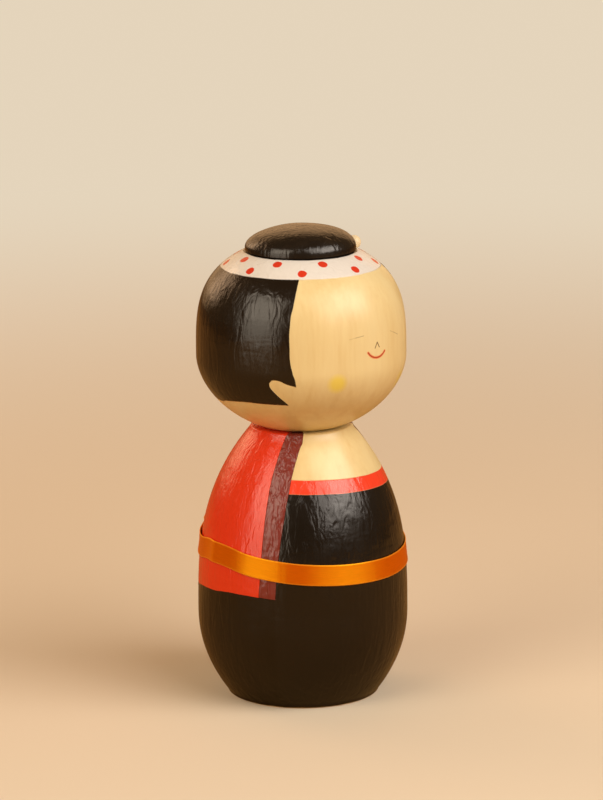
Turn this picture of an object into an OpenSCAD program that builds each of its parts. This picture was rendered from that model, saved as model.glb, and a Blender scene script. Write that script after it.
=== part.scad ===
// Kokeshi doll: a lathe-turned wooden body, a round head that turns on a dowel, a flat hair bun
// with a wooden bead beside it, and a satin ribbon tied round the waist as an obi.
// Millimetres, +Z up, origin at the centre of the base. The doll faces -Y.

/* [Body] */
// Diameter of the body at its widest
body_d = 65; // [48:0.5:90]
// Height of the body's flat top above the base
body_h = 84.5; // [64:0.5:120]
// Height of the widest place above the base
belly_h = 26; // [16:0.5:36]
// Diameter where the curve meets the base
base_d = 46; // [30:0.5:60]
// Diameter of the body's flat top, under the head
neck_d = 30.5; // [20:0.5:44]
// Fullness of the curve below the belly
lower_fullness = 2.1; // [1.6:0.1:3]
// Fullness of the curve above the belly
upper_fullness = 2.9; // [2:0.1:4]
// Radius of the softened edges at the base and the top
edge_round = 0.8; // [0.3:0.1:1.5]

/* [Head] */
// Diameter of the head at its widest
head_d = 64.5; // [46:0.5:90]
// Height over which the curve above the widest place would close
head_rise = 35.5; // [26:0.5:50]
// Depth over which the curve below the widest place would close
head_drop = 24; // [16:0.5:36]
// Fullness of the curve above the widest place
crown_fullness = 3.4; // [2:0.1:5]
// Fullness of the curve below the widest place
chin_fullness = 1.8; // [1.5:0.1:4]
// Diameter of the flat on the head's underside
head_flat_d = 26; // [16:0.5:34]
// Gap between the head's underside and the body's top
head_gap = 0.3; // [0.15:0.05:0.6]

/* [Neck dowel] */
// Diameter of the dowel that the head turns on
neck_dowel_d = 10; // [7:0.5:14]
// Length of the dowel glued in the head
neck_dowel_in_head = 16; // [10:0.5:24]
// Length of the dowel that turns in the body
neck_dowel_in_body = 20; // [12:0.5:30]
// Radial clearance of the dowel in the body
running_clearance = 0.05; // [0.02:0.01:0.09]
// Empty depth left beyond a dowel's end
end_space = 1; // [0.5:0.1:2]

/* [Hair bun] */
// Diameter of the bun
bun_d = 34; // [26:0.5:42]
// Height of the bun
bun_h = 7.6; // [6:0.1:12]
// Height of the bun's widest place above its seat
bun_edge_h = 1.1; // [0.6:0.1:2]
// How far the edge tucks in below the widest place
bun_tuck = 0.8; // [0.3:0.1:1.5]
// Diameter of the dowel glued between the bun and the head
bun_dowel_d = 6; // [4:0.5:8]
// Length of that dowel in the bun
bun_dowel_in_bun = 4; // [3:0.5:4.5]
// Length of that dowel in the head
bun_dowel_in_head = 8; // [5:0.5:12]

/* [Bead] */
// Diameter of the bead beside the bun
bead_d = 4.2; // [3:0.1:6]
// Height of the bead's centre above the head's surface
bead_lift = 1.3; // [0.8:0.1:1.5]
// Turn of the bead round the head, from the face towards the doll's left
bead_turn = 75; // [0:1:180]
// Diameter of the bead's peg
bead_pin_d = 1.2; // [0.8:0.1:1.6]
// Length of the peg in the head
bead_pin_in_head = 3; // [2:0.5:5]
// Length of the peg in the bead
bead_pin_in_bead = 1.8; // [1.2:0.1:2]
// Gap between the bead and the head and bun that it sits against
bead_gap = 0.05; // [0.02:0.01:0.2]

/* [Ribbon] */
// Width of the ribbon
ribbon_w = 6.4; // [3:0.1:10]
// Thickness of the ribbon
ribbon_t = 0.4; // [0.3:0.05:0.8]
// Height of the ribbon's middle on the doll's axis
ribbon_h = 47.3; // [38:0.5:56]
// Tilt of the ribbon, low in front
ribbon_tilt = 6.4; // [0:0.1:10]
// Gap between the ribbon or bow and what it lies on
ribbon_gap = 0.05; // [0.02:0.01:0.2]

/* [Bow] */
// Width of the knot
knot_w = 5; // [4:0.5:8]
// Thickness of the knot
knot_t = 3.2; // [2:0.1:4]
// Length of each loop from the middle of the knot
loop_len = 13; // [10:0.5:18]
// Greatest thickness of a loop, front to back
loop_t = 3.4; // [2.4:0.1:5]
// Turn of each loop back towards the body
loop_sweep = 5; // [0:1:8]
// Droop of each loop below the ribbon's line
loop_droop = 12; // [0:1:18]
// Length beside the knot where a loop's two layers lie together
loop_pinch = 1.2; // [0.8:0.1:2]
// Length of each tail
tail_len = 21; // [12:0.5:26]
// Splay of each tail from straight down
tail_splay = 16; // [8:1:30]

/* [Hidden] */
$fn = 96;

outline_steps = 44;
ribbon_steps = 12;
edge_steps = 4;
dome_steps = 20;
knot_steps = 12;
loop_steps = 36;
dowel_chamfer = 0.6;
// how far a cutting shape runs past the face it cuts
past = 1;
// greatest height of sin(a) * sin(a / 2), the teardrop that a loop follows
teardrop_peak = 0.77;

body_r = body_d / 2;
base_r = base_d / 2;
neck_r = neck_d / 2;
head_r = head_d / 2;
bun_r = bun_d / 2;

// Radius of the body at height z
function body_radius(z) = z < belly_h
    ? body_r - (body_r - base_r) * pow((belly_h - z) / belly_h, lower_fullness)
    : body_r - (body_r - neck_r) * pow((z - belly_h) / (body_h - belly_h), upper_fullness);

// How far the head's surface stands above or below its widest place at radius r
function crown_height(r) = head_rise * pow(1 - pow(r / head_r, 2), 1 / crown_fullness);
function chin_depth(r) = head_drop * pow(1 - pow(r / head_r, 2), 1 / chin_fullness);

head_low = body_h + head_gap;
head_mid = head_low + chin_depth(head_flat_d / 2);
head_top = head_mid + crown_height(bun_r);

// Radius of the head at height z
function head_radius(z) = z < head_mid
    ? head_r * sqrt(1 - pow((head_mid - z) / head_drop, chin_fullness))
    : head_r * sqrt(1 - pow((z - head_mid) / head_rise, crown_fullness));

// The bead rests on the head and just clears the bun
bead_r = bead_d / 2;
bead_reach = bun_r + bead_r + bead_gap;
bead_lean = atan(crown_height(bead_reach - 1) - crown_height(bead_reach));
bead_seat_r = bead_reach - bead_lift * sin(bead_lean);
bead_seat_h = head_mid + crown_height(bead_seat_r);

// The bow sits at the back, where the tilted ribbon is highest
knot_h = ribbon_h + body_radius(ribbon_h) * tan(ribbon_tilt);
knot_lean = atan(body_radius(knot_h - 1) - body_radius(knot_h));
knot_len = ribbon_w + 2 * ribbon_t;
ribbon_face = ribbon_gap + ribbon_t;

module at_bead() {
    rotate([0, 0, bead_turn])
        translate([0, -bead_seat_r, bead_seat_h])
            rotate([bead_lean, 0, 0])
                children();
}

module at_knot() {
    translate([0, body_radius(knot_h) + ribbon_face + ribbon_gap, knot_h])
        rotate([knot_lean, 0, 0])
            children();
}

// A round peg with chamfered ends, standing on z = 0
module peg(d, len, chamfer) {
    rotate_extrude()
        polygon([[0, 0], [d / 2 - chamfer, 0], [d / 2, chamfer],
                 [d / 2, len - chamfer], [d / 2 - chamfer, len], [0, len]]);
}

// A sleeve round the body between two heights, standing off by gap, t thick
module body_sleeve(low, high, gap, t) {
    step = (high - low) / ribbon_steps;
    rotate_extrude()
        polygon(concat(
            [for (i = [0 : ribbon_steps]) let (z = low + i * step) [body_radius(z) + gap, z]],
            [for (i = [ribbon_steps : -1 : 0]) let (z = low + i * step)
                [body_radius(z) + gap + t, z]]));
}

module body() {
    bore_depth = neck_dowel_in_body - head_gap + end_space;
    step = (body_h - 2 * edge_round) / outline_steps;
    base_edge = body_radius(edge_round) - edge_round;
    top_edge = body_radius(body_h - edge_round) - edge_round;
    color("#1d1815")
        difference() {
            rotate_extrude()
                polygon(concat(
                    [[0, 0]],
                    [for (i = [0 : edge_steps - 1]) let (a = 90 * i / edge_steps)
                        [base_edge + edge_round * sin(a), edge_round * (1 - cos(a))]],
                    [for (i = [0 : outline_steps]) let (z = edge_round + i * step)
                        [body_radius(z), z]],
                    [for (i = [1 : edge_steps]) let (a = 90 * i / edge_steps)
                        [top_edge + edge_round * cos(a),
                         body_h - edge_round * (1 - sin(a))]],
                    [[0, body_h]]));
            translate([0, 0, body_h - bore_depth])
                cylinder(r = neck_dowel_d / 2 + running_clearance, h = bore_depth + past);
        }
}

module neck_dowel() {
    color("#d9b98a")
        translate([0, 0, head_low - neck_dowel_in_body])
            peg(neck_dowel_d, neck_dowel_in_body + neck_dowel_in_head, dowel_chamfer);
}

module head() {
    step = (head_top - head_low) / outline_steps;
    color("#f0cf95")
        difference() {
            rotate_extrude()
                polygon(concat(
                    [[0, head_low]],
                    [for (i = [0 : outline_steps]) let (z = head_low + i * step)
                        [head_radius(z), z]],
                    [[0, head_top]]));
            translate([0, 0, head_low - past])
                cylinder(d = neck_dowel_d, h = neck_dowel_in_head + end_space + past);
            translate([0, 0, head_top - bun_dowel_in_head - end_space])
                cylinder(d = bun_dowel_d, h = bun_dowel_in_head + end_space + past);
            at_bead()
                translate([0, 0, -bead_pin_in_head])
                    cylinder(d = bead_pin_d, h = bead_pin_in_head + past);
        }
}

module hair_bun() {
    dome_h = bun_h - bun_edge_h;
    bore_depth = bun_dowel_in_bun + end_space / 2;
    color("#17120f")
        translate([0, 0, head_top])
            difference() {
                rotate_extrude()
                    polygon(concat(
                        [[0, 0]],
                        [for (i = [0 : edge_steps - 1]) let (t = i / edge_steps)
                            [bun_r - bun_tuck * pow(1 - t, 2), bun_edge_h * t]],
                        [for (i = [0 : dome_steps]) let (a = 90 * i / dome_steps)
                            [bun_r * pow(cos(a), 2 / 3), bun_edge_h + dome_h * sin(a)]]));
                translate([0, 0, -past])
                    cylinder(d = bun_dowel_d, h = bore_depth + past);
            }
}

module bun_dowel() {
    color("#d9b98a")
        translate([0, 0, head_top - bun_dowel_in_head])
            peg(bun_dowel_d, bun_dowel_in_head + bun_dowel_in_bun, dowel_chamfer);
}

module hair_bead() {
    color("#f3e2b8")
        at_bead()
            difference() {
                translate([0, 0, bead_lift])
                    sphere(d = bead_d);
                translate([0, 0, -bead_d])
                    cylinder(d = 2 * bead_d, h = bead_d + bead_gap);
                cylinder(d = bead_pin_d, h = bead_pin_in_bead);
            }
}

module bead_pin() {
    color("#cfae7c")
        at_bead()
            translate([0, 0, -bead_pin_in_head])
                cylinder(d = bead_pin_d, h = bead_pin_in_head + bead_pin_in_bead);
}

module obi_ribbon() {
    reach = body_r * tan(ribbon_tilt) + ribbon_w;
    slab = 2 * (body_d + ribbon_w);
    color("#f08a12")
        intersection() {
            body_sleeve(ribbon_h - reach, ribbon_h + reach, ribbon_gap, ribbon_t);
            translate([0, 0, ribbon_h])
                rotate([ribbon_tilt, 0, 0])
                    cube([slab, slab, ribbon_w], center = true);
        }
}

// The knot seen from above, drawn larger by grow
module knot_outline(grow) {
    polygon([for (i = [0 : knot_steps]) let (a = 180 * i / knot_steps)
        [(knot_w / 2 + grow) * cos(a), (knot_t + 2 * grow) * sin(a) - grow]]);
}

module obi_knot() {
    color("#e07f10")
        at_knot()
            linear_extrude(height = knot_len, center = true)
                knot_outline(0);
}

// A teardrop from the knot outwards, drawn from above
module loop_outline(from, to, t) {
    half = t / 2 / teardrop_peak;
    polygon([for (i = [0 : loop_steps - 1]) let (a = 360 * i / loop_steps)
        [from + (to - from) * (1 - cos(a)) / 2, half * sin(a) * sin(a / 2)]]);
}

// A loop comes out of the knot's side, and its two layers are open beyond the pinch
module obi_loop(side) {
    from = knot_w / 2 - ribbon_t;
    color("#f59418")
        at_knot()
            difference() {
                translate([0, loop_t / 2, 0])
                    mirror([side < 0 ? 1 : 0, 0, 0])
                        rotate([0, loop_droop, -loop_sweep])
                            linear_extrude(height = ribbon_w, center = true)
                                difference() {
                                    loop_outline(from, loop_len, loop_t);
                                    loop_outline(from + loop_pinch, loop_len - ribbon_t,
                                                 loop_t - 2 * ribbon_t);
                                }
                linear_extrude(height = 2 * knot_len, center = true)
                    knot_outline(ribbon_gap);
            }
}

module obi_loop_right() {
    obi_loop(-1);
}

module obi_loop_left() {
    obi_loop(1);
}

// A tail comes out below the knot and follows the body down; its end is cut on the slant
module obi_tail(side) {
    cut = ribbon_w / 2;
    top = knot_h - knot_len / 2 - ribbon_gap;
    low = knot_h - tail_len - ribbon_w;
    lie = ribbon_gap + (side < 0 ? 0 : ribbon_face);
    color("#ef8d14")
        intersection() {
            body_sleeve(low, top, lie, ribbon_t);
            translate([0, 0, knot_h])
                mirror([side < 0 ? 1 : 0, 0, 0])
                    rotate([90, tail_splay, 180])
                        linear_extrude(height = body_d)
                            mirror([1, 0])
                                polygon([[-ribbon_w / 2, 0], [ribbon_w / 2, 0],
                                         [ribbon_w / 2, -tail_len],
                                         [-ribbon_w / 2, cut - tail_len]]);
        }
}

module obi_tail_right() {
    obi_tail(-1);
}

module obi_tail_left() {
    obi_tail(1);
}

body();
neck_dowel();
head();
hair_bun();
bun_dowel();
hair_bead();
bead_pin();
obi_ribbon();
obi_knot();
obi_loop_right();
obi_loop_left();
obi_tail_right();
obi_tail_left();
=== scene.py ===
"""Kokeshi doll: turned wood, painted and lacquered, with a satin ribbon tied round it as an obi.

Metres, +Z up, the doll faces -Y and its left is +X. Azimuths are degrees from the face, positive
towards the doll's left. Paint is laid out in degrees and in millimetres above the base, and names
ending in _mm are in millimetres, as are the bow's own sizes.
"""

from math import atan2, cos, exp, hypot, pi, radians, sin, sqrt

import bmesh
import bpy
from mathutils import Matrix, Vector


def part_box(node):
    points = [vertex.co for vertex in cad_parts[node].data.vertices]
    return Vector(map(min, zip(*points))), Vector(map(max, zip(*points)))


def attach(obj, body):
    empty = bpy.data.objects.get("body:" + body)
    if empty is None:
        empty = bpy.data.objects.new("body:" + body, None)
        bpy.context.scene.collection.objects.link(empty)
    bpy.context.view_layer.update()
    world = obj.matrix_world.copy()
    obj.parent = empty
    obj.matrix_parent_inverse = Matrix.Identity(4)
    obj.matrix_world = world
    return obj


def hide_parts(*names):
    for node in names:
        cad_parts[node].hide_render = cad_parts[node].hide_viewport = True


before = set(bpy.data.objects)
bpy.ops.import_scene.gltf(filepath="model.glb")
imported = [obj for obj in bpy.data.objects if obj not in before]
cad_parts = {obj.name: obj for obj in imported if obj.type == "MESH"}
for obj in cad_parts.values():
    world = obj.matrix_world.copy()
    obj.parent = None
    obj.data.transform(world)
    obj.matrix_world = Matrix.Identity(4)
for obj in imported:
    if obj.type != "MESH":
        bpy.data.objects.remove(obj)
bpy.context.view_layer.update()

MM = 0.001
SPIN_STEPS = 192
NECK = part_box("neck_dowel")
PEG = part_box("bun_dowel")
RUNNING_GAP = 0.05 * MM
HOLE_SPARE = 1 * MM
RIBBON_W = 6.4 * MM
RIBBON_T = 0.3 * MM
ACROSS_STEPS = 12


# ---------------------------------------------------------------- camera and light

CAMERA_TURN = -45.5
CAMERA_AWAY = 1.2
CAMERA_HEIGHT = 0.36
CAMERA_TILT = 12.6
CAMERA_ROLL = -0.4
LENS_MM = 238.8
SENSOR_MM = 36

DOLL_MIDDLE = Vector((0, 0, 0.09))
FAR_FLOOR = (0.78, 0.66, 0.5, 1)
DIM_ROOM = (0.2, 0.105, 0.04, 1)


def stand_off(turn, rise, distance):
    """The point at that turn and rise, in degrees, from the middle of the doll."""
    flat = distance * cos(radians(rise))
    out = Vector((flat * sin(radians(turn)), -flat * cos(radians(turn)), distance * sin(radians(rise))))
    return DOLL_MIDDLE + out


def place_camera():
    """A long lens from the doll's right, a little above it."""
    lens = bpy.data.cameras.new("camera")
    lens.sensor_fit = "HORIZONTAL"
    lens.sensor_width = SENSOR_MM
    lens.lens = LENS_MM
    camera = bpy.data.objects.new("camera", lens)
    turn = radians(CAMERA_TURN)
    place = Matrix.Translation((CAMERA_AWAY * sin(turn), -CAMERA_AWAY * cos(turn), CAMERA_HEIGHT))
    look = Matrix.Rotation(turn, 4, "Z") @ Matrix.Rotation(radians(90 - CAMERA_TILT), 4, "X")
    camera.matrix_world = place @ look @ Matrix.Rotation(radians(CAMERA_ROLL), 4, "Z")
    bpy.context.scene.collection.objects.link(camera)
    bpy.context.scene.camera = camera


def softbox(name, turn, rise, width, height, radiance, tint, away=1.0):
    """A rectangular lamp facing the doll. turn is from the camera's side of it."""
    lamp = bpy.data.lights.new(name, "AREA")
    lamp.shape = "RECTANGLE"
    lamp.size = width
    lamp.size_y = height
    lamp.energy = radiance * pi * width * height
    lamp.color = tint
    box = bpy.data.objects.new(name, lamp)
    box.location = stand_off(CAMERA_TURN + turn, rise, away)
    box.rotation_euler = (box.location - DOLL_MIDDLE).to_track_quat("Z", "Y").to_euler()
    box.visible_camera = False
    bpy.context.scene.collection.objects.link(box)


def light_the_room():
    """Two softboxes in front, each with a brighter middle, and two warm ones behind, in a dim warm
    room with a pale backdrop."""
    warm_white = (1.0, 0.86, 0.68)
    soft_white = (1.0, 0.9, 0.8)
    softbox("left_softbox", -47, 22, 0.78, 1.02, 2.1, warm_white)
    softbox("left_bulb", -48, 28, 0.42, 0.5, 1.5, warm_white, 0.95)
    softbox("right_softbox", 54, 36, 1.12, 0.78, 3.0, soft_white)
    softbox("right_bulb", 62, 34, 0.55, 0.42, 3.2, soft_white, 0.95)
    softbox("back_softbox", -130, 24, 0.48, 0.5, 2.3, (1.0, 0.64, 0.38))
    softbox("glow_behind", -170, 20, 1.5, 0.7, 0.8, (1.0, 0.58, 0.28))
    world = bpy.data.worlds.new("dim_room")
    world.use_nodes = True
    room = world.node_tree
    sky = room.nodes["Background"]
    seen = add(room, "LightPath", out="Is Camera Ray")
    tint = add(room, "Mix", {0: seen, 6: DIM_ROOM, 7: FAR_FLOOR},
               {"data_type": "RGBA"}, out=2)
    room.links.new(tint, sky.inputs["Color"])
    bpy.context.scene.world = world
    bpy.context.scene.view_settings.view_transform = "Standard"
    bpy.context.scene.view_settings.look = "None"


# ---------------------------------------------------------------- material helpers


def linear(colour):
    """An sRGB hex colour as linear RGBA."""
    parts = [int(colour[i : i + 2], 16) / 255 for i in (1, 3, 5)]
    return [p / 12.92 if p <= 0.04045 else ((p + 0.055) / 1.055) ** 2.4 for p in parts] + [1.0]


def add(tree, kind, inputs=None, settings=None, out=0, points=()):
    """Adds one node with its settings, input values or links, and a curve's points."""
    made = tree.nodes.new("ShaderNode" + kind)
    for name, value in (settings or {}).items():
        setattr(made, name, value)
    for key, value in (inputs or {}).items():
        if isinstance(value, bpy.types.NodeSocket):
            tree.links.new(value, made.inputs[key])
        else:
            made.inputs[key].default_value = value
    if points:
        curve = made.mapping.curves[0]
        for place, (x, y) in enumerate(points):
            point = curve.points[place] if place < 2 else curve.points.new(x, y)
            point.location = (x, y)
        made.mapping.update()
    return made.outputs[out]


def per_metre(size_mm):
    """A pattern's scale on Object coordinates for features of that size."""
    return 1000 / size_mm


def new_material(name):
    """A new material, its node tree and its shader."""
    material = bpy.data.materials.new(name)
    material.use_nodes = True
    return material, material.node_tree, material.node_tree.nodes["Principled BSDF"]


def finish_shader(tree, shader, colour, roughness, height, relief_mm, **sockets):
    """Links colour, roughness and relief to the shader, and sets its uniform sockets."""
    normal = add(tree, "Bump", {"Height": height, "Distance": relief_mm * MM, "Strength": 1.0},
                 out="Normal")
    tree.links.new(colour, shader.inputs["Base Color"])
    tree.links.new(roughness, shader.inputs["Roughness"])
    tree.links.new(normal, shader.inputs["Normal"])
    for name, value in sockets.items():
        shader.inputs[name.replace("_", " ")].default_value = value


# ---------------------------------------------------------------- painted edges, dabs and strokes


def brushed(tree, at, wander_mm, size_mm):
    """Object coordinates that wander a little, so that a painted edge looks drawn by hand."""
    drift = add(tree, "TexNoise", {"Vector": at, "Scale": per_metre(size_mm), "Detail": 1.0},
                out="Color")
    centred = add(tree, "VectorMath", {0: drift, 1: (0.5, 0.5, 0.5)}, {"operation": "SUBTRACT"})
    return add(tree, "VectorMath", {0: centred, 1: (2 * wander_mm * MM,) * 3, 2: at},
               {"operation": "MULTIPLY_ADD"})


def turn_and_height(tree, at):
    """Degrees round from the face, the same to both sides, and millimetres above the base."""
    x, y, z = (add(tree, "SeparateXYZ", {0: at}, out=axis) for axis in "XYZ")
    front = add(tree, "Math", {0: y, 1: -1.0}, {"operation": "MULTIPLY"})
    angle = add(tree, "Math", {0: x, 1: front}, {"operation": "ARCTAN2"})
    turn = add(tree, "Math", {0: angle}, {"operation": "DEGREES"})
    turn = add(tree, "Math", {0: turn}, {"operation": "ABSOLUTE"})
    height = add(tree, "Math", {0: z, 1: 1000.0}, {"operation": "MULTIPLY"})
    return turn, height


def drawn_edge(tree, along, points):
    """Where a painted edge stands, for each place along it. points are (along, edge) in real units."""
    low, high = points[0][0], points[-1][0]
    least, most = min(p[1] for p in points), max(p[1] for p in points)
    share = add(tree, "MapRange", {"Value": along, "From Min": low, "From Max": high})
    curve = add(tree, "FloatCurve", {"Value": share}, points=[
        ((a - low) / (high - low), (b - least) / (most - least)) for a, b in points])
    return add(tree, "MapRange", {"Value": curve, "To Min": least, "To Max": most})


def past(tree, value, edge, soft):
    """1 where value is past the edge and 0 short of it, over a soft brushed line."""
    ahead = add(tree, "Math", {0: value, 1: edge}, {"operation": "SUBTRACT"})
    return add(tree, "MapRange", {"Value": ahead, "From Min": -soft / 2, "From Max": soft / 2})


def both(tree, *masks):
    """1 where every mask is 1."""
    whole = masks[0]
    for mask in masks[1:]:
        whole = add(tree, "Math", {0: whole, 1: mask}, {"operation": "MULTIPLY"})
    return whole


def outside(tree, mask):
    """1 where the mask is 0."""
    return add(tree, "Math", {0: 1.0, 1: mask}, {"operation": "SUBTRACT"})


def painted(tree, under, colour, mask):
    """The colour laid over what is under it, where the mask is 1."""
    over = colour if isinstance(colour, bpy.types.NodeSocket) else linear(colour)
    return add(tree, "Mix", {0: mask, 6: under, 7: over}, {"data_type": "RGBA"}, out=2)


def nearest(tree, distances):
    """The least of several distances."""
    least = distances[0]
    for distance in distances[1:]:
        least = add(tree, "Math", {0: least, 1: distance}, {"operation": "MINIMUM"})
    return least


def stroke(tree, at, start, end):
    """Distance in metres from a straight brush stroke between two points of the surface."""
    run = end - start
    from_start = add(tree, "VectorMath", {0: at, 1: start}, {"operation": "SUBTRACT"})
    share = add(tree, "VectorMath", {0: from_start, 1: run / run.length_squared},
                {"operation": "DOT_PRODUCT"}, out="Value")
    share = add(tree, "Math", {0: share, 1: 1.0}, {"operation": "MULTIPLY", "use_clamp": True})
    foot = add(tree, "VectorMath", {0: run, "Scale": share}, {"operation": "SCALE"})
    return add(tree, "VectorMath", {0: from_start, 1: foot}, {"operation": "DISTANCE"}, out="Value")


def dab(tree, distance, radius_mm, soft_mm):
    """1 within the radius of a dab or half the width of a stroke, fading out over its soft rim."""
    return add(tree, "MapRange", {
        "Value": distance,
        "From Min": (radius_mm + soft_mm / 2) * MM,
        "From Max": (radius_mm - soft_mm / 2) * MM,
    })


# ---------------------------------------------------------------- wood, paint and lacquer


def pale_wood(tree, at):
    """Mizuki dogwood, turned and sanded. Its growth rings run up the axis, so the turned surface
    shows soft upright streaks a few millimetres apart, hardly darker than the wood."""
    drawn_out = add(tree, "Mapping", {"Vector": at, "Scale": (1, 1, 0.12)})
    rings = add(tree, "TexNoise", {"Vector": drawn_out, "Scale": per_metre(6), "Detail": 3.0,
                                   "Roughness": 0.55, "Distortion": 0.4})
    fibres = add(tree, "TexNoise", {"Vector": drawn_out, "Scale": per_metre(1.2), "Detail": 2.0})
    streak = add(tree, "Math", {0: rings, 1: 0.75, 2: 0.0}, {"operation": "MULTIPLY_ADD"})
    streak = add(tree, "Math", {0: fibres, 1: 0.25, 2: streak}, {"operation": "MULTIPLY_ADD"})
    shade = add(tree, "MapRange", {"Value": streak, "From Min": 0.35, "From Max": 0.65})
    return painted(tree, painted(tree, linear("#EAD8A2"), "#E7D39B", shade), "#E2CB91",
                   add(tree, "Math", {0: shade, 1: 2.0}, {"operation": "POWER"}))


def brush_marks(tree, at):
    """Thick lacquer brushed upwards over the grain: upright ridges about a millimetre apart that
    wriggle and join, with a few lines across them."""
    upright = add(tree, "Mapping", {"Vector": at, "Scale": (1, 1, 0.22)})
    ridges = add(tree, "TexNoise", {"Vector": upright, "Scale": per_metre(2.2), "Detail": 2.0,
                                    "Roughness": 0.45, "Distortion": 0.9})
    across = add(tree, "Mapping", {"Vector": at, "Scale": (0.3, 0.3, 1)})
    lines = add(tree, "TexNoise", {"Vector": across, "Scale": per_metre(3), "Detail": 1.0,
                                   "Distortion": 0.6})
    return add(tree, "Math", {0: lines, 1: 0.35, 2: ridges}, {"operation": "MULTIPLY_ADD"})


def lacquered_wood(tree, shader, at, colour, paint, marks=1.0):
    """Paint under lacquer, and bare wood that is only waxed. Paint is glossier, keeps its brush
    marks and stands a little proud of the wood at its edges."""
    grain_share = 0.06
    paint_step = 0.12
    grain = add(tree, "TexNoise", {"Vector": at, "Scale": per_metre(0.8), "Detail": 2.0})
    fine = add(tree, "Math", {0: grain, 1: grain_share}, {"operation": "MULTIPLY"})
    relief = add(tree, "Math", {0: brush_marks(tree, at), 1: marks}, {"operation": "MULTIPLY"})
    relief = add(tree, "Math", {0: relief, 1: paint_step}, {"operation": "ADD"})
    height = add(tree, "Math", {0: relief, 1: paint, 2: fine}, {"operation": "MULTIPLY_ADD"})
    patchy = add(tree, "TexNoise", {"Vector": at, "Scale": per_metre(9), "Detail": 2.0})
    gloss = add(tree, "MapRange", {"Value": patchy, "From Min": 0.3, "From Max": 0.7,
                                   "To Min": 0.19, "To Max": 0.27})
    waxed = 0.31
    roughness = add(tree, "Mix", {0: paint, 2: waxed, 3: gloss}, {"data_type": "FLOAT"})
    finish_shader(tree, shader, colour, roughness, height, relief_mm=0.3, IOR=1.54)


def surface_point(outline, turn, height_mm):
    """The point of a turned piece at that azimuth and height."""
    radius = radius_at(outline, height_mm * MM)
    return Vector((radius * sin(radians(turn)), -radius * cos(radians(turn)), height_mm * MM))


def body_paint(outline):
    """Kimono in black, orange-red and plum poster colour, brushed on and lacquered: satin paint with
    upright brush ridges. The chest and the base are bare wood."""
    material, tree, shader = new_material("lacquered_kimono_paint")
    at = add(tree, "TexCoord", out="Object")
    turn, height = turn_and_height(tree, brushed(tree, at, wander_mm=0.12, size_mm=5))
    edge_deg, edge_mm = 0.35, 0.2
    collar_foot, collar_top, collar_drop_per_metre = 67.5, 71.5, 37
    bare_foot = 0.3

    # the kimono's opening, its lapels and the hem of the jacket
    lapel_edge = drawn_edge(tree, height, [
        (36, 60.6), (49, 59), (61, 56.5), (69, 54.4), (72.5, 53.2), (77.5, 50.2), (81, 46.8), (82.5, 44.6),
        (84.5, 43.8)])
    lapel_back = drawn_edge(tree, height, [
        (36, 70.2), (46, 69.2), (60, 68.5), (71, 68.1), (77.3, 66.6), (81, 65.1), (84.5, 61.5)])
    hem = drawn_edge(tree, turn, [
        (58, 36.4), (70, 37), (86, 37.1), (94, 36.8), (101, 36.4), (115, 35.9), (130, 35), (180, 34)])
    beyond_lapel_edge = past(tree, turn, lapel_edge, edge_deg)
    beyond_lapel = past(tree, turn, lapel_back, edge_deg)
    above_hem = past(tree, height, hem, edge_mm)

    # the collar is a little lower towards the doll's left
    sideways = add(tree, "VectorMath", {0: at, 1: (collar_drop_per_metre, 0, 0)},
                   {"operation": "DOT_PRODUCT"}, out="Value")
    collar_height = add(tree, "Math", {0: height, 1: sideways}, {"operation": "ADD"})
    above_collar = past(tree, collar_height, collar_top, edge_mm)
    above_black = past(tree, collar_height, collar_foot, edge_mm)

    wood = pale_wood(tree, at)
    colour = painted(tree, wood, "#0E0B09", outside(tree, above_black))
    collar = both(tree, above_black, outside(tree, above_collar))
    colour = painted(tree, colour, "#F2452A", collar)
    colour = painted(tree, colour, "#7C2F28", both(tree, beyond_lapel_edge, above_hem))
    colour = painted(tree, colour, "#E43A1A", both(tree, beyond_lapel, above_hem))
    colour = painted(tree, colour, "#090604", both(tree, beyond_lapel_edge, outside(tree, above_hem)))

    chest = both(tree, above_collar, outside(tree, beyond_lapel_edge))
    base = outside(tree, past(tree, height, bare_foot, 0.1))
    bare = add(tree, "Math", {0: chest, 1: base}, {"operation": "MAXIMUM"})
    colour = painted(tree, colour, wood, base)
    lapel = both(tree, beyond_lapel_edge, outside(tree, beyond_lapel), above_hem)
    # the lapel's paint is laid on thicker
    marks = add(tree, "MapRange", {"Value": lapel, "To Min": 0.9, "To Max": 2.6})
    lacquered_wood(tree, shader, at, colour, outside(tree, bare), marks)
    return material


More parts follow.
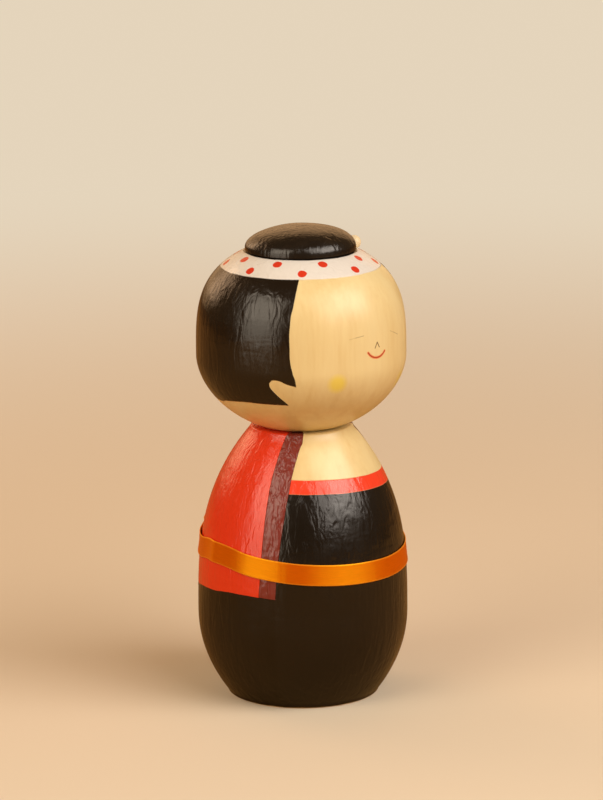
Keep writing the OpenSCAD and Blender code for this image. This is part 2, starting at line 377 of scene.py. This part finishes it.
def head_paint(outline):
    """Face and hair: bare pale wood with a thin wax, black hair in glossy paint, a white headband
    with red dabs, and the features in thin ink lines."""
    material, tree, shader = new_material("painted_face_and_hair")
    at = add(tree, "TexCoord", out="Object")
    turn, height = turn_and_height(tree, brushed(tree, at, wander_mm=0.14, size_mm=5))
    edge_deg, edge_mm = 0.35, 0.2
    band_foot, lower_dabs, upper_dabs, bun_foot = 134.1, 135.5, 137.6, 138.62
    bare_foot = 84.9

    # hair: its front edge, the line along its foot, and the bare lock-shaped notch above the foot
    front = drawn_edge(tree, height, [
        (96, 48.4), (103, 48.4), (107, 50.1), (113, 51.7), (120, 51.7), (127, 49.8), (134, 46.7)])
    foot = drawn_edge(tree, turn, [
        (50, 96.4), (78, 96.5), (88, 96.1), (101, 95.3), (112, 94.4), (180, 94)])
    notch_tip, notch_tip_height = 63.2, 103.2
    notch_top = drawn_edge(tree, turn, [
        (46, 102.2), (48.4, 102.7), (53.8, 103.7), (57.5, 104.6), (60.5, 104.8), (62.3, 104.3),
        (notch_tip, notch_tip_height)])
    notch_foot = drawn_edge(tree, turn, [
        (48, 92.4), (53.5, 96.6), (58.8, 99.6), (61.5, 101.3), (62.9, 102.4),
        (notch_tip, notch_tip_height)])
    notch = both(tree, outside(tree, past(tree, height, notch_top, edge_mm)),
                 past(tree, height, notch_foot, edge_mm),
                 outside(tree, past(tree, turn, notch_tip, edge_deg)))
    hair = both(tree, past(tree, turn, front, edge_deg), past(tree, height, foot, edge_mm),
                outside(tree, notch))

    wood = pale_wood(tree, at)
    colour = painted(tree, wood, "#150F0A", hair)

    # cheeks, rubbed on with a dry brush, the doll's left one fainter and lower
    for cheek, strength in (((-25.6, 103.2), 0.85), ((28.5, 100.6), 0.45)):
        away = add(tree, "VectorMath", {0: at, 1: surface_point(outline, *cheek)},
                   {"operation": "DISTANCE"}, out="Value")
        rubbed = add(tree, "Math", {0: dab(tree, away, 2.6, 2.0), 1: strength}, {"operation": "MULTIPLY"})
        colour = painted(tree, colour, "#F0DA58", rubbed)

    # mouth: an arc of short strokes, dark in the middle of the line and soft at its rim
    smile, mm_per_degree = 4.5, 0.562
    lips = [surface_point(outline, -0.3 + smile / mm_per_degree * sin(radians(a)),
                          114.3 - smile * cos(radians(a))) for a in range(-55, 50, 13)]
    mouth = nearest(tree, [stroke(tree, at, a, b) for a, b in zip(lips, lips[1:])])
    colour = painted(tree, colour, "#E8703A", dab(tree, mouth, 0.37, 0.35))
    colour = painted(tree, colour, "#A8402A", dab(tree, mouth, 0.17, 0.25))

    # nose and closed eyes, in thin brown ink
    nose = [(-1.8, 112.8), (-0.1, 114.5), (1.4, 112.9)]
    eyes = [((-18.6, 116.5), (-14.6, 116.8), 0.25), ((-14.6, 116.8), (-9.6, 117.1), 0.55),
            ((11.6, 116.9), (15.3, 116.1), 0.35), ((15.3, 116.1), (20, 115), 0.55)]
    points = [surface_point(outline, *p) for p in nose]
    line = nearest(tree, [stroke(tree, at, a, b) for a, b in zip(points, points[1:])])
    colour = painted(tree, colour, "#5A3A22", dab(tree, line, 0.14, 0.16))
    for start, end, strength in eyes:
        line = stroke(tree, at, surface_point(outline, *start), surface_point(outline, *end))
        faint = add(tree, "Math", {0: dab(tree, line, 0.1, 0.16), 1: strength}, {"operation": "MULTIPLY"})
        colour = painted(tree, colour, "#7A6040", faint)

    # headband, its dabs, and the black that runs out from under the bun
    band = past(tree, height, band_foot, edge_mm)
    colour = painted(tree, colour, "#E5E3DE", band)
    lower_row = [-165, -129, -87.3, -44.4, 0.7, 38.7, 79, 119, 157]
    upper_row = [-144, -106, -66.5, -25.5, 18.8, 59, 99, 139, 178]
    spots = [surface_point(outline, a, lower_dabs) for a in lower_row]
    spots += [surface_point(outline, a, upper_dabs) for a in upper_row]
    dabbed = brushed(tree, at, wander_mm=0.3, size_mm=2.5)
    dots = nearest(tree, [
        add(tree, "VectorMath", {0: dabbed, 1: spot}, {"operation": "DISTANCE"}, out="Value")
        for spot in spots])
    colour = painted(tree, colour, "#D73A22", dab(tree, dots, 1.42, 0.2))
    colour = painted(tree, colour, "#15110E", past(tree, height, bun_foot, 0.06))

    cover = add(tree, "Math", {0: hair, 1: band}, {"operation": "MAXIMUM"})
    colour = painted(tree, colour, wood, outside(tree, past(tree, height, bare_foot, 0.1)))
    lacquered_wood(tree, shader, at, colour, cover, marks=0.75)
    return material


def bun_paint():
    """Black poster colour under lacquer, as on the hair."""
    material, tree, shader = new_material("lacquered_black_paint")
    at = add(tree, "TexCoord", out="Object")
    worn = add(tree, "TexNoise", {"Vector": at, "Scale": per_metre(4), "Detail": 3.0})
    thin = add(tree, "MapRange", {"Value": worn, "From Min": 0.55, "From Max": 0.8, "To Max": 0.5})
    colour = painted(tree, linear("#15110E"), "#2A2119", thin)
    lacquered_wood(tree, shader, at, colour, 1.0)
    return material


def bead_paint():
    """Cream poster colour on a turned beech bead, waxed: smooth, with a soft wide shine."""
    material, tree, shader = new_material("cream_painted_bead")
    at = add(tree, "TexCoord", out="Object")
    mottle = add(tree, "TexNoise", {"Vector": at, "Scale": per_metre(1.5), "Detail": 2.0})
    colour = painted(tree, linear("#F6E8C6"), "#E9D3A4", mottle)
    roughness = add(tree, "MapRange", {"Value": mottle, "To Min": 0.35, "To Max": 0.5})
    finish_shader(tree, shader, colour, roughness, mottle, 0.03, IOR=1.5)
    return material


def dowel_wood():
    """Birch dowel, sanded: straight fine grain along it and no shine."""
    material, tree, shader = new_material("sanded_birch")
    at = add(tree, "TexCoord", out="Object")
    along = add(tree, "Mapping", {"Vector": at, "Scale": (1, 1, 0.06)})
    grain = add(tree, "TexNoise", {"Vector": along, "Scale": per_metre(0.9), "Detail": 4.0})
    colour = painted(tree, linear("#E2C08F"), "#C79B62", grain)
    roughness = add(tree, "MapRange", {"Value": grain, "To Min": 0.55, "To Max": 0.75})
    finish_shader(tree, shader, colour, roughness, grain, 0.06, IOR=1.5)
    return material


def satin_ribbon():
    """Polyester satin ribbon, woven with long floats that run along it. The floats shine in a band
    across their own run, so the ribbon changes from amber to bright yellow as it turns. The UV map
    "weave" holds millimetres along and across."""
    material, tree, shader = new_material("woven_polyester_satin")
    weave = add(tree, "UVMap", settings={"uv_map": "weave"})
    across = add(tree, "SeparateXYZ", {0: weave}, out="Y")
    # floats are really 0.1 mm apart, drawn at 0.35 mm so that they show
    float_mm, fold_mm, drawn_out, selvedge_mm = 0.35, 2.5, 0.12, 0.35
    floats = add(tree, "Mapping", {"Vector": weave, "Scale": (drawn_out, 1, 1)})
    floats = add(tree, "TexNoise", {"Vector": floats, "Scale": 1 / float_mm, "Detail": 2.0})
    folds = add(tree, "Mapping", {"Vector": weave, "Scale": (1, drawn_out, 1)})
    folds = add(tree, "TexNoise", {"Vector": folds, "Scale": 1 / fold_mm, "Detail": 2.0})
    from_middle = add(tree, "Math", {0: across}, {"operation": "ABSOLUTE"})
    selvedge_and_edge_highlight = past(tree, from_middle, RIBBON_W / MM / 2 - selvedge_mm, 0.15)
    shade = add(tree, "MapRange", {"Value": floats, "From Min": 0.3, "From Max": 0.7})
    colour = painted(tree, linear("#DA5A05"), "#CC4F03", shade)
    # the edges are painted a lighter orange: a painted highlight along each edge of the ribbon, over the
    # real raised selvedge
    colour = painted(tree, colour, "#F28A22", selvedge_and_edge_highlight)
    height = add(tree, "Math", {0: floats, 1: 0.25}, {"operation": "MULTIPLY"})
    height = add(tree, "Math", {0: folds, 1: 1.0, 2: height}, {"operation": "MULTIPLY_ADD"})
    height = add(tree, "Math", {0: selvedge_and_edge_highlight, 1: 0.6, 2: height}, {"operation": "MULTIPLY_ADD"})
    roughness = add(tree, "MapRange", {"Value": floats, "To Min": 0.34, "To Max": 0.42})
    finish_shader(tree, shader, colour, roughness, height, 0.06, IOR=3.6, Anisotropic=0.92,
                  Anisotropic_Rotation=0.25)
    shader.inputs["Specular Tint"].default_value = (1.0, 0.56, 0.01, 1.0)
    tangent = add(tree, "Tangent", settings={"direction_type": "UV_MAP", "uv_map": "weave"})
    tree.links.new(tangent, shader.inputs["Tangent"])
    return material


# ---------------------------------------------------------------- turned pieces


def turned_outline(node, holes):
    """The (height, radius) rings of a turned CAD node, from its own mesh, leaving out the floors of
    its dowel holes."""
    full_ring = 60
    near = 0.02 * MM
    rings = {}
    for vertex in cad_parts[node].data.vertices:
        rings.setdefault(round(vertex.co.z, 5), []).append(hypot(vertex.co.x, vertex.co.y))
    return sorted((height, max(radii)) for height, radii in rings.items()
                  if len(radii) > full_ring and all(abs(height - floor) > near for floor in holes))


def radius_at(outline, height):
    """Radius of a turned outline at that height."""
    for (low, low_r), (high, high_r) in zip(outline, outline[1:]):
        if low <= height <= high:
            return low_r + (high_r - low_r) * (height - low) / (high - low)
    return outline[0][1] if height < outline[0][0] else outline[-1][1]


def eased(share):
    """0 to 1 with a soft start and end, and held there outside."""
    share = min(1, max(0, share))
    return share * share * (3 - 2 * share)


def make_object(name, mesh_maker, material):
    """Finishes a bmesh as a smooth-shaded object at the origin."""
    mesh = bpy.data.meshes.new(name)
    mesh_maker.to_mesh(mesh)
    mesh_maker.free()
    for face in mesh.polygons:
        face.use_smooth = True
    mesh.materials.append(material)
    piece = bpy.data.objects.new(name, mesh)
    bpy.context.scene.collection.objects.link(piece)
    return piece


def turn_on_lathe(name, rings, material, sharp=30):
    """Spins an outline of (height, radius) round the axis into a closed solid."""
    maker = bmesh.new()
    verts = [maker.verts.new((radius, 0, height)) for height, radius in rings]
    edges = [maker.edges.new(pair) for pair in zip(verts, verts[1:])]
    bmesh.ops.spin(maker, geom=verts + edges, axis=(0, 0, 1), cent=(0, 0, 0), angle=2 * pi,
                   steps=SPIN_STEPS, use_merge=True)
    bmesh.ops.remove_doubles(maker, verts=maker.verts, dist=1e-6)
    bmesh.ops.recalc_face_normals(maker, faces=maker.faces)
    for edge in maker.edges:
        edge.smooth = edge.calc_face_angle(0) < radians(sharp)
    return make_object(name, maker, material)


def bore(radius, rim, floor):
    """Rings of a round hole in the middle of a turned piece's end, from its rim to the axis."""
    return [(rim, radius), (floor, radius), (floor, 0)]


def make_body(outline):
    """The body, with a flat base and a blind hole for the neck dowel to turn in."""
    rings = [(outline[0][0], 0)] + outline
    rings += bore(NECK[1].x + RUNNING_GAP, outline[-1][0], NECK[0].z - HOLE_SPARE)
    piece = turn_on_lathe("turned_body", rings, body_paint(outline))
    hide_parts("body")
    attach(piece, "doll_body")


def make_head(outline):
    """The head, with a hole below for the neck dowel and one above for the bun's."""
    rings = bore(NECK[1].x, outline[0][0], NECK[1].z + HOLE_SPARE)[::-1] + outline
    rings += bore(PEG[1].x, outline[-1][0], PEG[0].z - HOLE_SPARE)
    piece = turn_on_lathe("turned_head", rings, head_paint(outline))
    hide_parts("head")
    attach(piece, "doll_head")


def make_bun(outline):
    """The bun: a low cushion with a narrow bevel round its foot."""
    low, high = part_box("hair_bun")
    bevel = 0.3 * MM
    flattened, lopsided = 0.4, 1.0
    widest = max(outline, key=lambda ring: ring[1])
    outline = [(low.z, high.x - bevel), (low.z + bevel, high.x)] + [
        ring for ring in outline if ring[0] > widest[0]]
    rings = bore(PEG[1].x, outline[0][0], PEG[1].z + HOLE_SPARE / 2)[::-1] + outline + [(high.z, 0)]
    piece = turn_on_lathe("turned_hair_bun", rings, bun_paint())
    # sanded by hand: a little flatter than it was turned, and lower on one side
    for vertex in piece.data.vertices:
        rise = (vertex.co.z - low.z) / (high.z - low.z)
        low_side = max(0, vertex.co.y * 0.7 - vertex.co.x * 0.7) / high.x
        vertex.co.z -= (flattened + lopsided * eased(low_side)) * MM * rise
    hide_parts("hair_bun")
    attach(piece, "doll_head")


def make_bead():
    """The bead: a ball with the flat that it is glued by."""
    low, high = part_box("hair_bead")
    radius = (high.x - low.x) / 2
    centre = Vector(((low.x + high.x) / 2, (low.y + high.y) / 2, high.z - radius))
    maker = bmesh.new()
    bmesh.ops.create_uvsphere(maker, u_segments=48, v_segments=32, radius=radius)
    bmesh.ops.translate(maker, verts=maker.verts, vec=centre)
    everything = maker.verts[:] + maker.edges[:] + maker.faces[:]
    bmesh.ops.bisect_plane(maker, geom=everything, plane_co=low, plane_no=(0, 0, -1), clear_outer=True)
    bmesh.ops.holes_fill(maker, edges=[edge for edge in maker.edges if edge.is_boundary])
    piece = make_object("cream_bead", maker, bead_paint())
    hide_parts("hair_bead")
    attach(piece, "doll_head")


# ---------------------------------------------------------------- ribbon and bow


def strip(name, node, length, place, along_steps, closed=False, offset=0):
    """A piece of ribbon, laid along its path by place(share along, share across), given its
    thickness, and standing for that CAD node."""
    maker = bmesh.new()
    weave = maker.loops.layers.uv.new("weave")
    bmesh.ops.create_grid(maker, x_segments=along_steps, y_segments=ACROSS_STEPS, size=0.5)
    for face in maker.faces:
        for corner in face.loops:
            x, y = corner.vert.co.x, corner.vert.co.y
            corner[weave].uv = ((x + 0.5) * length / MM, y * RIBBON_W / MM)
    for vertex in maker.verts:
        vertex.co = place(vertex.co.x + 0.5, vertex.co.y)
    if closed:
        bmesh.ops.remove_doubles(maker, verts=maker.verts, dist=1e-6)
    bmesh.ops.recalc_face_normals(maker, faces=maker.faces)
    piece = make_object(name, maker, satin)
    cloth = piece.modifiers.new("thickness", "SOLIDIFY")
    cloth.thickness = RIBBON_T
    cloth.offset = offset
    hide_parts(node)
    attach(piece, "doll_body")


def obi_height(turn):
    """Height of the ribbon's middle at each azimuth: low in front, high behind, slack on the
    doll's right where it comes round to the bow."""
    middle, slope = 47.3, 3.6
    ride_up = 0.6 * exp(-(((turn + 92) / 12) ** 2))
    droop = 2.0 * exp(-(((turn + 135) / 20) ** 4))
    return (middle - slope * cos(radians(turn)) + ride_up - droop) * MM


def obi_lift(turn):
    """How far the ribbon stands off the body: a little everywhere, more at a fold beside the bow."""
    least = 0.14
    ripple = 0.05 * sin(radians(7 * turn + 20)) + 0.04 * sin(radians(13 * turn))
    fold = 0.3 * exp(-(((turn + 104) / 3.5) ** 2))
    return (least + ripple + fold) * MM


def make_strap(outline):
    """The ribbon round the body, its edges curled a little, its top edge gaping where it is slack."""
    def place(share, side):
        turn = -180 + 360 * share
        height = obi_height(turn) + side * RIBBON_W
        curl = 0.1 * MM * abs(2 * side) ** 4
        gape = 0.6 * MM * max(0, side) * exp(-(((turn + 128) / 13) ** 2))
        radius = radius_at(outline, height) + obi_lift(turn) + curl + gape
        return Vector((radius * sin(radians(turn)), -radius * cos(radians(turn)), height))

    length = 2 * pi * radius_at(outline, 47 * MM)
    strip("satin_ribbon", "obi_ribbon", length, place, along_steps=360, closed=True, offset=1)


def rounded(value, power):
    """A sine or cosine squared off by a power below 1."""
    return abs(value) ** power * (1 if value > 0 else -1)


def make_knot(stand):
    """The ribbon turned once round the middle of the bow, drawn in and creased."""
    half_deep, half_high, wide_in_front, wide_behind = 1.25, 3.4, 4.1, 4.8
    centre, rounding, crease_deep = 1.5, 1.5, 0.13

    def place(share, side):
        turn = 2 * pi * share
        front = max(0, cos(turn))
        out = centre + half_deep * rounded(cos(turn), 0.6) - rounding * front * side * side
        crease = crease_deep * cos(19 * side + 1.2 * sin(turn)) * (0.3 + 0.7 * front)
        across = side * (wide_in_front + (wide_behind - wide_in_front) * (1 - front))
        return stand @ (Vector((across, out + crease, half_high * rounded(sin(turn), 0.75))) * MM)

    strip("bow_knot", "obi_knot", 17 * MM, place, along_steps=48, closed=True)


def make_loop(name, node, hand, stand):
    """A loop, gathered at the knot and open at its outer end. hand is 1 on the doll's left."""
    swept_back, drooped = -12, 15
    in_knot, out_of_knot, stands_off = 1.4, 10.2, 1.7
    gathered, opened, half_thick = 3.7, 6.1, 1.9
    bend = Matrix.Rotation(radians(swept_back), 4, "Z") @ Matrix.Rotation(radians(drooped), 4, "Y")

    def place(share, side):
        turn = 2 * pi * share
        reach = (1 - cos(turn)) / 2
        spread = eased(reach * 1.6)
        layer = half_thick * sin(turn) * sin(turn / 2)
        crease = 0.3 * (1 - spread) * cos(13 * side) + 0.25 * side * spread
        up = side * (gathered + (opened - gathered) * spread)
        point = bend @ Vector((in_knot + (out_of_knot + 0.3 * side) * reach, layer + crease, up))
        point.y += stands_off
        point.x *= hand
        return stand @ (point * MM)

    strip(name, node, 25 * MM, place, along_steps=72)


def make_tail(name, node, hand, lie, outline, stand):
    """A tail that hangs from the knot down the body, with its end cut on the slant. lie is how far
    it stays off the body, in millimetres."""
    starts, length, slant = 2.4, 17, 3.2
    gathered, opened = 3.8, 6.3
    tilt = radians(16)

    def place(share, side):
        down = starts + share * (length + slant * side)
        spread = eased((down - starts) / 9)
        across = side * (gathered + (opened - gathered) * spread)
        x = hand * (down * sin(tilt) + across * cos(tilt)) * MM
        z = stand.translation.z + (across * sin(tilt) - down * cos(tilt)) * MM
        crease = 0.16 * (1 - spread) * cos(13 * side)
        over_knot = 0.7 * (1 - eased(share * 4))
        curl = 0.45 * share ** 3 + 0.12 * sin(7 * share + 2 * side)
        y = sqrt(radius_at(outline, z) ** 2 - x * x) + (lie + over_knot + curl + crease) * MM
        return Vector((x, y, z))

    strip(name, node, 19 * MM, place, along_steps=40)


def make_bow(outline):
    """The bow behind, leaning with the body: a knot, two loops and two tails, one over the other."""
    low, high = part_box("obi_knot")
    height = (low.z + high.z) / 2
    lean = atan2(radius_at(outline, height - MM) - radius_at(outline, height), MM)
    over_strap = 0.5 * MM
    stand = Matrix.Translation((0, radius_at(outline, height) + over_strap, height))
    stand = stand @ Matrix.Rotation(lean, 4, "X")
    make_knot(stand)
    make_loop("bow_loop_right", "obi_loop_right", -1, stand)
    make_loop("bow_loop_left", "obi_loop_left", 1, stand)
    under, over = 0.25, 0.7
    make_tail("bow_tail_right", "obi_tail_right", -1, under, outline, stand)
    make_tail("bow_tail_left", "obi_tail_left", 1, over, outline, stand)


def make_stage():
    """Plain pale floor."""
    half_side = 8
    maker = bmesh.new()
    bmesh.ops.create_grid(maker, x_segments=1, y_segments=1, size=half_side)
    material, tree, shader = new_material("pale_painted_floor")
    at = add(tree, "TexCoord", out="Object")
    mottle = add(tree, "TexNoise", {"Vector": at, "Scale": per_metre(400), "Detail": 2.0})
    colour = painted(tree, linear("#E6DAC6"), "#E2D5BF", mottle)
    # away from the doll the floor runs into the pale backdrop; what it throws back at the doll is
    # the warmer light of a wooden table
    away = add(tree, "VectorMath", {0: at}, {"operation": "LENGTH"}, out="Value")
    fade_from, fade_to = 0.15, 0.95
    far = add(tree, "MapRange", {"Value": away, "From Min": fade_from, "From Max": fade_to},
              {"interpolation_type": "SMOOTHSTEP"})
    colour = painted(tree, colour, "#000000", far)
    seen = add(tree, "LightPath", out="Is Camera Ray")
    colour = painted(tree, linear("#B48C56"), colour, seen)
    tree.links.new(colour, shader.inputs["Base Color"])
    shader.inputs["Roughness"].default_value = 0.7
    shader.inputs["Specular IOR Level"].default_value = 0.0
    shader.inputs["IOR"].default_value = 1.0
    glow = add(tree, "Math", {0: far, 1: seen}, {"operation": "MULTIPLY"})
    tree.links.new(glow, shader.inputs["Emission Strength"])
    shader.inputs["Emission Color"].default_value = FAR_FLOOR
    make_object("floor", maker, material)


# ---------------------------------------------------------------- the doll

place_camera()
light_the_room()
make_stage()

body_outline = turned_outline("body", [NECK[0].z - HOLE_SPARE])
head_outline = turned_outline("head", [NECK[1].z + HOLE_SPARE, PEG[0].z - HOLE_SPARE])
make_body(body_outline)
make_head(head_outline)
make_bun(turned_outline("hair_bun", [PEG[1].z + HOLE_SPARE / 2]))
make_bead()
satin = satin_ribbon()
make_strap(body_outline)
make_bow(body_outline)
birch = dowel_wood()
for name in ("neck_dowel", "bun_dowel", "bead_pin"):
    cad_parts[name].data.materials.clear()
    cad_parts[name].data.materials.append(birch)
